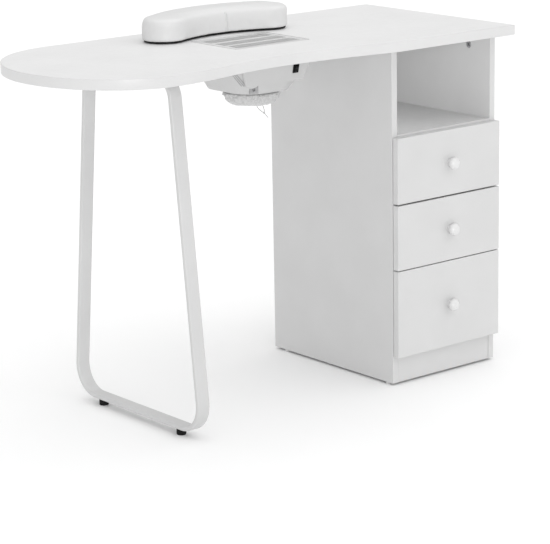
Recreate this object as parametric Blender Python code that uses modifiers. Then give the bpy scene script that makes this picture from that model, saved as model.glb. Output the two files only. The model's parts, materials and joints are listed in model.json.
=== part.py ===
"""Manicure table: a kidney-shaped top on a three-drawer cabinet and one looped leg, with a dust
collector let into the top, a hand-rest cushion and a dust bag.

Metres, +Z up, +X towards the cabinet, -Y towards the person who sits at the drawers. The origin is
on the floor under the middle of the top.
"""

import math

import bmesh
import bpy
from mathutils import Matrix, Vector

# The top
TABLE_LENGTH = 1.100
TABLE_DEPTH = 0.486
TABLE_HEIGHT = 0.750
TOP_THICKNESS = 0.021
EDGE_BAND = 0.001
FRONT_Y = -0.2345  # the straight front edge over the cabinet
WAIST = (-0.062, -0.2025)  # the shallowest point of the front edge
STRAIGHT_START_X = 0.222
LOBE_Y = -0.0035
LOBE_FRONT_X = -0.360
LOBE_BACK_X = -0.3245

# Clearance that touching pieces keep, and the small rounding on board edges
GAP = 0.0003
EASED_EDGE = 0.0006

# The cabinet
CABINET_LEFT, CABINET_RIGHT = 0.235, 0.535
CABINET_FRONT, CABINET_BACK = -0.190, 0.208
PANEL = 0.015
GLIDE_HEIGHT = 0.005
GLIDE_RADIUS = 0.007
GLIDE_YS = {"front": -0.168, "rear": 0.172}
SHELF_TOP = 0.5455
BOTTOM_TOP = 0.075
CAM_RADIUS, CAM_DEPTH = 0.0075, 0.0115
CAM_Z = 0.700
CAM_YS = {"front": -0.124, "rear": 0.142}

# The drawers: name, lowest and highest point of the front, and of the box behind it
DRAWERS = (
    ("top", 0.3998, 0.5410, 0.422, 0.517),
    ("middle", 0.2563, 0.3964, 0.278, 0.373),
    ("bottom", 0.0646, 0.2543, 0.090, 0.222),
)
FRONT_THICKNESS = 0.016
FRONT_FACE_Y = -0.2070
FRONT_REVEAL = 0.001  # how far a front stays inside the cabinet's sides
BOX_BOARD = 0.012
BOX_SIDE_GAP = 0.0015
BOX_BACK_Y = 0.160
BOTTOM_BOARD = 0.004
BOTTOM_GROOVE_Z = 0.008
GROOVE_DEPTH = 0.005
RUNNER_HEIGHT = 0.009
RUNNER_FRONT_Y, RUNNER_BACK_Y = -0.168, 0.150
KNOB_RADIUS = 0.0135
KNOB_REACH = 0.024

# The leg
LEG_X = -0.299
LEG_WIDTH = 0.030
LEG_THICKNESS = 0.010
LEG_EDGE_RADIUS = 0.0038
LEG_CENTRE_Y = -0.008
LEG_HALF_BOTTOM, LEG_HALF_TOP = 0.2195, 0.1455
LEG_BOTTOM_Z = 0.014
LEG_BEND_LOW, LEG_BEND_HIGH = 0.062, 0.046
FOOT_SPACING = 0.269
FOOT_RADIUS = 0.010
FOOT_STUD_RADIUS = 0.003
LEG_SCREW_OFFSET = 0.060

# The dust collector
COLLECTOR_X, COLLECTOR_Y = 0.0155, 0.0015
GRILLE_HALF_X, GRILLE_HALF_Y = 0.095, 0.0725
GRILLE_THICKNESS = 0.003
CUTOUT_GAP = 0.003
SLOT_ROWS, SLOTS_PER_ROW = 3, 26
SLOT_WIDTH, SLOT_PITCH = 0.0032, 0.0064
SLOT_LENGTH, SLOT_BAR = 0.036, 0.009
HOUSING_WALL = 0.002
COLLAR_HALF_X, COLLAR_HALF_Y = 0.094, 0.0715
SHOULDER_HALF_X, SHOULDER_HALF_Y = 0.107, 0.0865
SHOULDER_LOW = 0.7245
FUNNEL_HALF = 0.0705
FUNNEL_LOW = 0.6530
FLOOR_Z = 0.6500
REAR_CORNER = 0.018
SPIGOT_RADIUS, SPIGOT_LOW = 0.0560, 0.634  # the bag's mouth goes round this
BLOCK_SLOPE = math.atan((SHOULDER_HALF_Y - FUNNEL_HALF) / (SHOULDER_LOW - FUNNEL_LOW))
BLOCK_FACE = Vector((COLLECTOR_X, -0.0812, 0.6965))
BLOCK_HALF_HEIGHT = 0.0275
BLOCK_HALF_TOP, BLOCK_HALF_BOTTOM = 0.0960, 0.0740
BLOCK_DEPTH = 0.0045
FAN_BOTTOM, FAN_TOP = 0.6365, 0.6615
FAN_RADIUS = 0.0525
HUB_RADIUS = 0.020
BLADES = 7

# The switch, the power inlet and their leads
SWITCH_X, SWITCH_UP = 0.0670, -0.001  # across, and up the block's sloping front
SWITCH_BEZEL = (0.0140, 0.0185)
SWITCH_WELL = (0.0100, 0.0144)
SWITCH_DEPTH = 0.0150
ROCKER_TILT = math.radians(9)
INLET_FACE = Vector((-0.0326, -0.0658, 0.6605))
INLET_TURN = math.radians(-31)
INLET_SIZE = (0.018, 0.0135, 0.0160)
LEAD_RADIUS = 0.0015

# The dust bag and its cords
BAG_MOUTH_RADIUS = 0.0578
BAG_TOP, BAG_BOTTOM = 0.649, 0.619
BAG_WALL = 0.0015
STRING_RADIUS = 0.0006

# The hand rest: a band of even width bent round an arc
REST_CENTRE_X = 0.0180
REST_ARC_RADIUS = 0.301
REST_ARC_CENTRE_Y = -0.1485
REST_HALF_ANGLE = math.radians(26.7)
REST_HALF_WIDTH = 0.049
REST_BOTTOM, REST_TOP = 0.7540, 0.8040
REST_BASE_INSET = 0.006
REST_FOOT_RADIUS = 0.005

TOP_UNDERSIDE = TABLE_HEIGHT - TOP_THICKNESS
PARTS = bpy.data.collections.new("manicure_table")
CUTTERS = bpy.data.collections.new("cutters")

FINISHES = {
    "white_board": ((0.86, 0.86, 0.86), 0.45, 0.0),
    "edge_strip": ((0.84, 0.84, 0.84), 0.4, 0.0),
    "box_board": ((0.80, 0.80, 0.79), 0.6, 0.0),
    "white_powder_coat": ((0.82, 0.82, 0.82), 0.4, 0.0),
    "white_plastic": ((0.80, 0.80, 0.80), 0.4, 0.0),
    "grey_plastic": ((0.35, 0.35, 0.36), 0.5, 0.0),
    "black_plastic": ((0.02, 0.02, 0.02), 0.45, 0.0),
    "black_rubber": ((0.015, 0.015, 0.015), 0.8, 0.0),
    "zinc": ((0.45, 0.45, 0.46), 0.4, 1.0),
    "brushed_metal": ((0.62, 0.62, 0.63), 0.35, 1.0),
    "white_leatherette": ((0.84, 0.84, 0.84), 0.5, 0.0),
    "white_fabric": ((0.82, 0.82, 0.82), 0.9, 0.0),
    "white_thread": ((0.78, 0.78, 0.78), 0.9, 0.0),
}


# Building blocks

def clear_scene():
    for obj in list(bpy.data.objects):
        bpy.data.objects.remove(obj, do_unlink=True)
    for collection in (PARTS, CUTTERS):
        bpy.context.scene.collection.children.link(collection)


def finish(name):
    """The Principled material of that name, made the first time it is asked for."""
    if name in bpy.data.materials:
        return bpy.data.materials[name]
    colour, roughness, metallic = FINISHES[name]
    made = bpy.data.materials.new(name)
    made.use_nodes = True
    shader = made.node_tree.nodes["Principled BSDF"]
    shader.inputs["Base Color"].default_value = (*colour, 1.0)
    shader.inputs["Roughness"].default_value = roughness
    shader.inputs["Metallic"].default_value = metallic
    return made


def pivot(name, location):
    """An empty on a joint's axis, for the pieces that move with it."""
    empty = bpy.data.objects.new(name, None)
    empty.location = location
    empty.empty_display_size = 0.02
    PARTS.objects.link(empty)
    return empty


def add_part(name, mesh, look, parent=None, location=(0, 0, 0), rotation=(0, 0, 0)):
    obj = bpy.data.objects.new(name, mesh)
    mesh.materials.append(finish(look))
    obj.location, obj.rotation_euler = location, rotation
    PARTS.objects.link(obj)
    if parent:
        obj.parent = parent
        obj.matrix_parent_inverse = Matrix.Translation(-parent.location)
    return obj


def add_cutter(name, mesh, location=(0, 0, 0), rotation=(0, 0, 0)):
    obj = bpy.data.objects.new(name, mesh)
    obj.location, obj.rotation_euler = location, rotation
    obj.hide_render, obj.display_type = True, "WIRE"
    CUTTERS.objects.link(obj)
    return obj


def combine(obj, other, operation="DIFFERENCE"):
    step = obj.modifiers.new(operation.lower(), "BOOLEAN")
    step.operation, step.object, step.solver = operation, other, "EXACT"


def ease(obj, width=EASED_EDGE, segments=1):
    step = obj.modifiers.new("eased_edges", "BEVEL")
    step.width, step.segments, step.limit_method = width, segments, "ANGLE"
    step.angle_limit = math.radians(40)


def mesh_from(bm, name):
    """A mesh that is smooth across its curves and sharp at its edges."""
    bmesh.ops.recalc_face_normals(bm, faces=bm.faces)
    mesh = bpy.data.meshes.new(name)
    bm.to_mesh(mesh)
    bm.free()
    mesh.shade_smooth()
    mesh.set_sharp_from_angle(angle=math.radians(35))
    return mesh


def box_mesh(name, size):
    bm = bmesh.new()
    bmesh.ops.create_cube(bm, size=1.0)
    bmesh.ops.scale(bm, vec=size, verts=bm.verts)
    return mesh_from(bm, name)


def cylinder_mesh(name, radius, depth, sides=24):
    bm = bmesh.new()
    bmesh.ops.create_cone(
        bm, cap_ends=True, segments=sides, radius1=radius, radius2=radius, depth=depth
    )
    return mesh_from(bm, name)


def board(name, low, high, look="white_board", parent=None, eased=EASED_EDGE):
    """A rectangular board between two corners."""
    low, high = Vector(low), Vector(high)
    obj = add_part(name, box_mesh(name, high - low), look, parent, (low + high) / 2)
    if eased:
        ease(obj, eased)
    return obj


def cut_box(obj, low, high, rotation=(0, 0, 0)):
    low, high = Vector(low), Vector(high)
    name = f"{obj.name}_cut"
    combine(obj, add_cutter(name, box_mesh(name, high - low), (low + high) / 2, rotation))


def cut_hole(obj, centre, radius, depth, rotation=(0, 0, 0), sides=24):
    name = f"{obj.name}_hole"
    cutter = add_cutter(name, cylinder_mesh(name, radius, depth, sides), centre, rotation)
    combine(obj, cutter)


def turned_mesh(name, profile, closed=False):
    """A profile of (radius, height) points turned about Z; it runs down its outer side."""
    mesh = bpy.data.meshes.new(name)
    points = [(r, 0.0, z) for r, z in profile]
    edges = [(i, i + 1) for i in range(len(points) - 1)]
    if closed:
        edges.append((len(points) - 1, 0))
    mesh.from_pydata(points, edges, [])
    return mesh


def spin(obj, steps):
    step = obj.modifiers.new("turn", "SCREW")
    step.steps = step.render_steps = steps
    step.axis, step.use_merge_vertices, step.merge_threshold = "Z", True, 1e-5
    step.use_smooth_shade = True


def turned(name, profile, look, location, rotation=(0, 0, 0), steps=24, parent=None, closed=False):
    mesh = turned_mesh(name, profile, closed)
    obj = add_part(name, mesh, look, parent, location, rotation)
    spin(obj, steps)
    return obj


def flat_mesh(name, loops, half_thickness, axes="XY"):
    """Closed outlines filled and given a thickness; inner loops are holes. axes "YZ" stands it up."""
    data = bpy.data.curves.new(name, "CURVE")
    data.dimensions, data.fill_mode, data.extrude = "2D", "BOTH", half_thickness
    for loop in loops:
        spline = data.splines.new("POLY")
        spline.points.add(len(loop) - 1)
        for point, (u, v) in zip(spline.points, loop):
            point.co = (u, v, 0.0, 1.0)
        spline.use_cyclic_u = True
    guide = bpy.data.objects.new(name, data)
    CUTTERS.objects.link(guide)
    bpy.context.view_layer.update()
    graph = bpy.context.evaluated_depsgraph_get()
    mesh = bpy.data.meshes.new_from_object(guide.evaluated_get(graph))
    bpy.data.objects.remove(guide, do_unlink=True)
    bm = bmesh.new()
    bm.from_mesh(mesh)
    bpy.data.meshes.remove(mesh)
    bmesh.ops.remove_doubles(bm, verts=bm.verts, dist=1e-6)
    if axes == "YZ":
        turn = Matrix(((0, 0, 1), (1, 0, 0), (0, 1, 0)))
        bmesh.ops.transform(bm, matrix=turn.to_4x4(), verts=bm.verts)
    return mesh_from(bm, name)


def tube_mesh(name, route, radius, resolution=2):
    """A round cord along a smooth curve through the route's points."""
    points = smooth_route(route)
    data = bpy.data.curves.new(name, "CURVE")
    data.dimensions, data.bevel_depth, data.bevel_resolution = "3D", radius, resolution
    data.use_fill_caps = True
    spline = data.splines.new("POLY")
    spline.points.add(len(points) - 1)
    for point, place in zip(spline.points, points):
        point.co = (*place, 1.0)
    guide = bpy.data.objects.new(name, data)
    CUTTERS.objects.link(guide)
    bpy.context.view_layer.update()
    graph = bpy.context.evaluated_depsgraph_get()
    mesh = bpy.data.meshes.new_from_object(guide.evaluated_get(graph))
    bpy.data.objects.remove(guide, do_unlink=True)
    bm = bmesh.new()
    bm.from_mesh(mesh)
    bpy.data.meshes.remove(mesh)
    bmesh.ops.remove_doubles(bm, verts=bm.verts, dist=1e-6)
    return mesh_from(bm, name)


def loft_mesh(name, rings):
    """An open skin through rings of equal length."""
    bm = bmesh.new()
    rows = [[bm.verts.new(point) for point in ring] for ring in rings]
    for upper, lower in zip(rows, rows[1:]):
        for i in range(len(upper)):
            j = (i + 1) % len(upper)
            bm.faces.new((upper[i], lower[i], lower[j], upper[j]))
    mesh = bpy.data.meshes.new(name)
    bm.to_mesh(mesh)
    bm.free()
    return mesh


# Outlines

def smooth_route(route, per_span=4):
    """Points on a Catmull-Rom curve through the route."""
    route = [Vector(p) for p in route]
    padded = [2 * route[0] - route[1], *route, 2 * route[-1] - route[-2]]
    points = []
    for a, b, c, d in zip(padded, padded[1:], padded[2:], padded[3:]):
        for step in range(per_span):
            t = step / per_span
            points.append(0.5 * (
                2 * b + (c - a) * t + (2 * a - 5 * b + 4 * c - d) * t**2
                + (3 * b - a - 3 * c + d) * t**3
            ))
    return [*points, route[-1]]


def bezier(a, b, c, d, count):
    """Points of a cubic curve from a towards d, without d itself."""
    a, b, c, d = (Vector(p) for p in (a, b, c, d))
    return [
        (1 - t) ** 3 * a + 3 * (1 - t) ** 2 * t * b + 3 * (1 - t) * t**2 * c + t**3 * d
        for t in (i / count for i in range(count))
    ]


def ellipse_arc(centre, radii, start, end, count):
    """Points of an elliptical arc between two angles in degrees, without the last one."""
    return [
        Vector((centre[0] + radii[0] * math.cos(a), centre[1] + radii[1] * math.sin(a)))
        for a in (math.radians(start + (end - start) * i / count) for i in range(count))
    ]


def inset_loop(points, distance):
    """An anticlockwise outline moved inwards by a distance, with mitred corners."""
    count = len(points)
    moved = []
    for i in range(count):
        before = (points[i] - points[i - 1]).normalized()
        after = (points[(i + 1) % count] - points[i]).normalized()
        mitre = (Vector((-before.y, before.x)) + Vector((-after.y, after.x))).normalized()
        reach = distance / max(0.3, mitre.dot(Vector((-after.y, after.x))))
        moved.append(points[i] + mitre * reach)
    return moved


def rounded_outline(corners, radii, steps):
    """An anticlockwise polygon with its corners rounded off by arcs."""
    points = []
    count = len(corners)
    for i, (corner, radius) in enumerate(zip(corners, radii)):
        corner = Vector(corner)
        back = (Vector(corners[i - 1]) - corner).normalized()
        ahead = (Vector(corners[(i + 1) % count]) - corner).normalized()
        half = back.angle(ahead) / 2
        centre = corner + (back + ahead).normalized() * radius / math.sin(half)
        start = corner + back * radius / math.tan(half) - centre
        sweep = math.pi - 2 * half
        for step in range(steps + 1):
            turn = Matrix.Rotation(sweep * step / steps, 2)
            points.append(centre + turn @ start)
    return points


def rounded_rectangle(half_x, half_y, radius, steps, centre=(0, 0)):
    cx, cy = centre
    corners = [(cx - half_x, cy - half_y), (cx + half_x, cy - half_y),
               (cx + half_x, cy + half_y), (cx - half_x, cy + half_y)]
    return rounded_outline(corners, [radius] * 4, steps)


def rectangle(half_x, half_y, centre=(0, 0)):
    cx, cy = centre
    return [Vector((cx + sx * half_x, cy + sy * half_y))
            for sx, sy in ((-1, -1), (1, -1), (1, 1), (-1, 1))]


def tabletop_outline():
    """Anticlockwise from the front right corner: right end, back, round lobe, waist."""
    half_x, half_y = TABLE_LENGTH / 2, TABLE_DEPTH / 2
    back_radii = (half_x + LOBE_BACK_X, half_y - LOBE_Y)
    front_radii = (half_x + LOBE_FRONT_X, half_y + LOBE_Y)
    waist_x, waist_y = WAIST
    return [
        Vector((half_x, FRONT_Y)),
        Vector((half_x, half_y)),
        *ellipse_arc((LOBE_BACK_X, LOBE_Y), back_radii, 90, 180, 18),
        *ellipse_arc((LOBE_FRONT_X, LOBE_Y), front_radii, 180, 270, 18),
        *bezier((LOBE_FRONT_X, -half_y), (LOBE_FRONT_X + 0.11, -half_y),
                (waist_x - 0.13, waist_y), WAIST, 12),
        *bezier(WAIST, (waist_x + 0.15, waist_y), (STRAIGHT_START_X - 0.035, FRONT_Y),
                (STRAIGHT_START_X, FRONT_Y), 12),
        Vector((STRAIGHT_START_X, FRONT_Y)),
    ]


def hand_rest_outline():
    """Anticlockwise outline of the bent band, its hollow side to the front."""
    centre = Vector((REST_CENTRE_X, REST_ARC_CENTRE_Y))
    inner = REST_ARC_RADIUS - REST_HALF_WIDTH
    outer = REST_ARC_RADIUS + REST_HALF_WIDTH
    half = math.degrees(REST_HALF_ANGLE)
    ends = [
        centre + Vector((math.sin(a), math.cos(a))) * REST_ARC_RADIUS
        for a in (-REST_HALF_ANGLE, REST_HALF_ANGLE)
    ]
    cap = (REST_HALF_WIDTH, REST_HALF_WIDTH)
    return [
        *ellipse_arc(centre, (outer, outer), 90 - half, 90 + half, 14),
        *ellipse_arc(ends[0], cap, 90 + half, 270 + half, 12),
        *ellipse_arc(centre, (inner, inner), 90 + half, 90 - half, 12),
        *ellipse_arc(ends[1], cap, 270 - half, 450 - half, 12),
    ]


# The table's fixed structure

def make_tabletop():
    outline = tabletop_outline()
    cutout = rectangle(
        GRILLE_HALF_X + CUTOUT_GAP, GRILLE_HALF_Y + CUTOUT_GAP, (COLLECTOR_X, COLLECTOR_Y)
    )
    loops = [inset_loop(outline, EDGE_BAND + GAP), cutout]
    mesh = flat_mesh("tabletop", loops, TOP_THICKNESS / 2)
    middle = (0, 0, TABLE_HEIGHT - TOP_THICKNESS / 2)
    top = add_part("tabletop", mesh, "white_board", location=middle)
    for offset in (-LEG_SCREW_OFFSET, LEG_SCREW_OFFSET):
        cut_hole(top, (LEG_X, LEG_CENTRE_Y + offset, TOP_UNDERSIDE), 0.0028, 0.026, sides=12)
    band = flat_mesh("tabletop_edge_band", [outline, inset_loop(outline, EDGE_BAND)],
                     TOP_THICKNESS / 2)
    add_part("tabletop_edge_band", band, "edge_strip", location=middle)


def make_cabinet():
    inner_left, inner_right = CABINET_LEFT + PANEL, CABINET_RIGHT - PANEL
    top = TOP_UNDERSIDE - GAP
    sides = {}
    for side, low_x in (("left", CABINET_LEFT), ("right", inner_right)):
        sides[side] = board(
            f"cabinet_side_{side}", (low_x, CABINET_FRONT, GLIDE_HEIGHT),
            (low_x + PANEL, CABINET_BACK, top),
        )
        add_side_fittings(sides[side], side, low_x)
    left, right = inner_left + GAP, inner_right - GAP
    back_front = CABINET_BACK - PANEL
    board("cabinet_back", (left, back_front, GLIDE_HEIGHT), (right, CABINET_BACK, top))
    board("cabinet_shelf", (left, CABINET_FRONT, SHELF_TOP - PANEL),
          (right, back_front - GAP, SHELF_TOP))
    board("cabinet_bottom", (left, CABINET_FRONT, BOTTOM_TOP - PANEL),
          (right, back_front - GAP, BOTTOM_TOP))
    board("plinth_board", (left, CABINET_FRONT + 0.001, GLIDE_HEIGHT),
          (right, CABINET_FRONT + 0.001 + PANEL, BOTTOM_TOP - PANEL - GAP))


def add_side_fittings(panel, side, low_x):
    """The cam locks that draw the panel up to the top, and the glides nailed under it."""
    inwards = 1 if side == "left" else -1
    face_x = low_x + PANEL if side == "left" else low_x
    turn = (0, inwards * math.pi / 2, 0)
    for place, y in CAM_YS.items():
        face = Vector((face_x, y, CAM_Z))
        cut_hole(panel, face, CAM_RADIUS + GAP, 2 * (CAM_DEPTH + GAP), (0, math.pi / 2, 0))
        depth, radius = CAM_DEPTH, CAM_RADIUS
        profile = [(0, 0), (radius - 0.0006, 0), (radius, -0.0006), (radius, -depth), (0, -depth)]
        cam = turned(f"cam_lock_{side}_{place}", profile, "zinc", face, turn)
        for angle in (math.radians(35), math.radians(125)):
            cut_box(cam, face - Vector((0.004, 0.0048, 0.0009)),
                    face + Vector((0.004, 0.0048, 0.0009)), (angle, 0, 0))
    middle_x = low_x + PANEL / 2
    for place, y in GLIDE_YS.items():
        cut_hole(panel, (middle_x, y, GLIDE_HEIGHT), 0.0016, 0.024, sides=8)
        top = GLIDE_HEIGHT - GAP
        profile = [(0, 0.016), (0.0012, 0.0155), (0.0012, top), (GLIDE_RADIUS, top),
                   (GLIDE_RADIUS, 0.0008), (GLIDE_RADIUS - 0.0008, 0), (0, 0)]
        turned(f"cabinet_glide_{side}_{place}", profile, "white_plastic", (middle_x, y, 0),
               steps=16)


def make_leg():
    """One flat tube bent to a closed loop, wider at the floor, screwed up into the top."""
    y, low, high = LEG_CENTRE_Y, LEG_BOTTOM_Z, TOP_UNDERSIDE - GAP
    corners = [(y - LEG_HALF_BOTTOM, low), (y + LEG_HALF_BOTTOM, low),
               (y + LEG_HALF_TOP, high), (y - LEG_HALF_TOP, high)]
    radii = [LEG_BEND_LOW, LEG_BEND_LOW, LEG_BEND_HIGH, LEG_BEND_HIGH]
    outer = rounded_outline(corners, radii, 7)
    loops = [outer, inset_loop(outer, LEG_THICKNESS)]
    mesh = flat_mesh("leg_frame", loops, LEG_WIDTH / 2, axes="YZ")
    leg = add_part("leg_frame", mesh, "white_powder_coat", location=(LEG_X, 0, 0))
    ease(leg, LEG_EDGE_RADIUS, 3)
    for place, side in (("front", -1), ("rear", 1)):
        make_foot(leg, place, y + side * FOOT_SPACING / 2)
        make_leg_screw(leg, place, y + side * LEG_SCREW_OFFSET)


def make_foot(leg, place, y):
    base = pivot(f"leg_foot_{place}_screw", (LEG_X, y, 0))
    cut_hole(leg, (LEG_X, y, LEG_BOTTOM_Z), FOOT_STUD_RADIUS + GAP, 0.017, sides=16)
    top = LEG_BOTTOM_Z - GAP
    profile = [(0, top + 0.008), (FOOT_STUD_RADIUS, top + 0.008), (FOOT_STUD_RADIUS, top),
               (FOOT_RADIUS - 0.001, top), (FOOT_RADIUS, top - 0.001), (FOOT_RADIUS, 0.001),
               (FOOT_RADIUS - 0.001, 0), (0, 0)]
    turned(f"leg_foot_{place}", profile, "black_rubber", (LEG_X, y, 0), parent=base)


def make_leg_screw(leg, place, y):
    under = TOP_UNDERSIDE - GAP - LEG_THICKNESS
    cut_hole(leg, (LEG_X, y, under + LEG_THICKNESS / 2), 0.0028, 0.02, sides=12)
    head, shank = 0.005, 0.0025
    profile = [(0, 0.0205), (0.0008, 0.0205), (shank, 0.017), (shank, -GAP), (head, -GAP),
               (head, -0.0015), (head - 0.002, -0.0030), (0, -0.0032)]
    turned(f"leg_screw_{place}", profile, "zinc", (LEG_X, y, under), steps=16)


# The drawers

def make_drawer(name, front_low, front_high, box_low, box_high):
    inner_left, inner_right = CABINET_LEFT + PANEL, CABINET_RIGHT - PANEL
    middle_x = (CABINET_LEFT + CABINET_RIGHT) / 2
    knob_z = (front_low + front_high) / 2
    base = pivot(f"drawer_{name}_slide", (middle_x, FRONT_FACE_Y, knob_z))
    front_back = FRONT_FACE_Y + FRONT_THICKNESS
    front = board(
        f"drawer_{name}_front", (CABINET_LEFT + FRONT_REVEAL, FRONT_FACE_Y, front_low),
        (CABINET_RIGHT - FRONT_REVEAL, front_back, front_high), parent=base, eased=0.001,
    )
    cut_hole(front, (middle_x, FRONT_FACE_Y, knob_z), 0.0028, 0.04,
             (math.pi / 2, 0, 0), sides=16)
    make_knob(name, base, (middle_x, FRONT_FACE_Y, knob_z))

    box_front = front_back + GAP
    left, right = inner_left + BOX_SIDE_GAP, inner_right - BOX_SIDE_GAP
    runner_z = (box_low + box_high) / 2
    floor_low = box_low + BOTTOM_GROOVE_Z
    floor_high = floor_low + BOTTOM_BOARD
    for side, outer_x, inwards in (("left", left, 1), ("right", right, -1)):
        inner_x = outer_x + inwards * BOX_BOARD
        wall = board(
            f"drawer_{name}_side_{side}", (min(outer_x, inner_x), box_front, box_low),
            (max(outer_x, inner_x), BOX_BACK_Y, box_high), "box_board", base, 0,
        )
        cut_channel(wall, outer_x, inwards, RUNNER_FRONT_Y - 0.001, runner_z,
                    RUNNER_HEIGHT + 0.001)
        cut_channel(wall, inner_x, -inwards, box_front - 0.01, floor_low + BOTTOM_BOARD / 2,
                    BOTTOM_BOARD + 2 * GAP)
        make_runner(f"drawer_{name}_runner_{side}", inner_left if inwards > 0 else inner_right,
                    inwards, runner_z)
    floor_reach = BOX_BOARD - GROOVE_DEPTH + GAP
    board(f"drawer_{name}_bottom", (left + floor_reach, box_front, floor_low),
          (right - floor_reach, BOX_BACK_Y - GAP, floor_high), "box_board", base, 0)
    board(f"drawer_{name}_back",
          (left + BOX_BOARD + GAP, BOX_BACK_Y - BOX_BOARD, floor_high + GAP),
          (right - BOX_BOARD - GAP, BOX_BACK_Y, box_high - 0.005), "box_board", base, 0)


def cut_channel(wall, face_x, inwards, start_y, middle_z, height):
    """A groove of GROOVE_DEPTH into a face, from start_y out through the back end."""
    near, far = face_x - inwards * 0.005, face_x + inwards * GROOVE_DEPTH
    cut_box(wall, (min(near, far), start_y, middle_z - height / 2),
            (max(near, far), BOX_BACK_Y + 0.01, middle_z + height / 2))


def make_runner(name, face_x, inwards, middle_z):
    """A strip on the cabinet's side that the groove in the drawer's side runs on."""
    near = face_x + inwards * GAP
    far = face_x + inwards * (BOX_SIDE_GAP + GROOVE_DEPTH - 0.0005)
    board(name, (min(near, far), RUNNER_FRONT_Y, middle_z - RUNNER_HEIGHT / 2),
          (max(near, far), RUNNER_BACK_Y, middle_z + RUNNER_HEIGHT / 2), "white_plastic", eased=0)


def make_knob(name, base, place):
    """A mushroom knob with its screw through the front, turned about -Y."""
    through = FRONT_THICKNESS
    profile = [
        (0, KNOB_REACH), (0.0050, KNOB_REACH - 0.0006), (0.0092, KNOB_REACH - 0.0024),
        (0.0122, KNOB_REACH - 0.0054), (KNOB_RADIUS, KNOB_REACH - 0.0092),
        (0.0127, KNOB_REACH - 0.0126), (0.0098, KNOB_REACH - 0.0150), (0.0072, 0.0064),
        (0.0066, 0.0034), (0.0078, 0.0010), (0.0078, GAP), (0.0024, GAP),
        (0.0024, -through - GAP), (0.0045, -through - GAP), (0.0045, -through - 0.0022),
        (0, -through - 0.0028),
    ]
    turned(f"drawer_{name}_knob", profile, "white_plastic", place, (math.pi / 2, 0, 0),
           steps=18, parent=base)


# The dust collector

def make_grille():
    base = pivot("grille_lift", (COLLECTOR_X, COLLECTOR_Y, TABLE_HEIGHT))
    loops = [rounded_rectangle(GRILLE_HALF_X, GRILLE_HALF_Y, 0.003, 2,
                               (COLLECTOR_X, COLLECTOR_Y))]
    for row in range(SLOT_ROWS):
        y = COLLECTOR_Y + (row - (SLOT_ROWS - 1) / 2) * (SLOT_LENGTH + SLOT_BAR)
        for column in range(SLOTS_PER_ROW):
            x = COLLECTOR_X + (column - (SLOTS_PER_ROW - 1) / 2) * SLOT_PITCH
            loops.append(rectangle(SLOT_WIDTH / 2, SLOT_LENGTH / 2, (x, y)))
    mesh = flat_mesh("grille", loops, GRILLE_THICKNESS / 2)
    height = TABLE_HEIGHT - 0.0002 - GRILLE_THICKNESS / 2
    add_part("grille", mesh, "brushed_metal", base, (0, 0, height))


def on_block(across, outwards, up):
    """A point from its place on the block's sloping front."""
    return BLOCK_FACE + Vector((across - COLLECTOR_X, 0, 0)) + (
        Matrix.Rotation(BLOCK_SLOPE, 3, "X") @ Vector((0, -outwards, up))
    )


def housing_rings():
    """Rounded rectangles from the collar in the cut-out down to the round spigot."""
    seat = TOP_UNDERSIDE - GAP
    sections = (
        (COLLAR_HALF_X, COLLAR_HALF_Y, 0.004, TABLE_HEIGHT - GRILLE_THICKNESS - 0.0006),
        (COLLAR_HALF_X, COLLAR_HALF_Y, 0.004, seat),
        (SHOULDER_HALF_X, SHOULDER_HALF_Y, 0.014, seat),
        (SHOULDER_HALF_X, SHOULDER_HALF_Y, 0.014, SHOULDER_LOW),
        (FUNNEL_HALF, FUNNEL_HALF, 0.050, FUNNEL_LOW),
        (FUNNEL_HALF - 0.002, FUNNEL_HALF - 0.002, 0.048, FLOOR_Z),
        (SPIGOT_RADIUS, SPIGOT_RADIUS, SPIGOT_RADIUS - 1e-5, FLOOR_Z),
        (SPIGOT_RADIUS, SPIGOT_RADIUS, SPIGOT_RADIUS - 1e-5, SPIGOT_LOW),
    )
    rings = []
    for half_x, half_y, radius, z in sections:
        round_section = half_x == SPIGOT_RADIUS
        rear = radius if round_section else min(radius, REAR_CORNER)
        corners = rectangle(half_x, half_y, (COLLECTOR_X, COLLECTOR_Y))
        ring = rounded_outline(corners, [radius, radius, rear, rear], 7)
        rings.append([(p.x, p.y, z) for p in ring])
    return rings


def make_housing():
    mesh = loft_mesh("collector_housing", housing_rings())
    housing = add_part("collector_housing", mesh, "white_plastic")
    wall = housing.modifiers.new("wall", "SOLIDIFY")
    wall.thickness, wall.offset, wall.use_even_offset = HOUSING_WALL, -1, True
    low, high, half = BLOCK_HALF_BOTTOM, BLOCK_HALF_TOP, BLOCK_HALF_HEIGHT
    outline = [Vector(p) for p in ((-low, -half), (low, -half), (high, half), (-high, half))]
    block = flat_mesh("front_block", [outline], BLOCK_DEPTH / 2)
    combine(housing, add_cutter("front_block", block, on_block(COLLECTOR_X, -BLOCK_DEPTH / 2, 0),
                                (math.pi / 2 + BLOCK_SLOPE, 0, 0)), "UNION")
    half_x, half_z = SWITCH_BEZEL[0] / 2 - 0.0009, SWITCH_BEZEL[1] / 2 - 0.0009
    slot = box_mesh("switch_slot", (2 * half_x, 0.012, 2 * half_z))
    combine(housing, add_cutter("switch_slot", slot, on_block(SWITCH_X, 0, SWITCH_UP),
                                (BLOCK_SLOPE, 0, 0)))
    width, depth, height = (v + 2 * GAP for v in INLET_SIZE)
    hole = add_cutter("inlet_slot", box_mesh("inlet_slot", (width, depth + 0.004, height)),
                      at_inlet(depth / 2 - GAP), (0, 0, INLET_TURN))
    combine(housing, hole)


def at_inlet(inwards, up=0.0):
    """A point behind the middle of the inlet's face."""
    way = Vector((math.sin(INLET_TURN), -math.cos(INLET_TURN), 0))
    return INLET_FACE + Vector((0, 0, up)) - way * inwards


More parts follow.
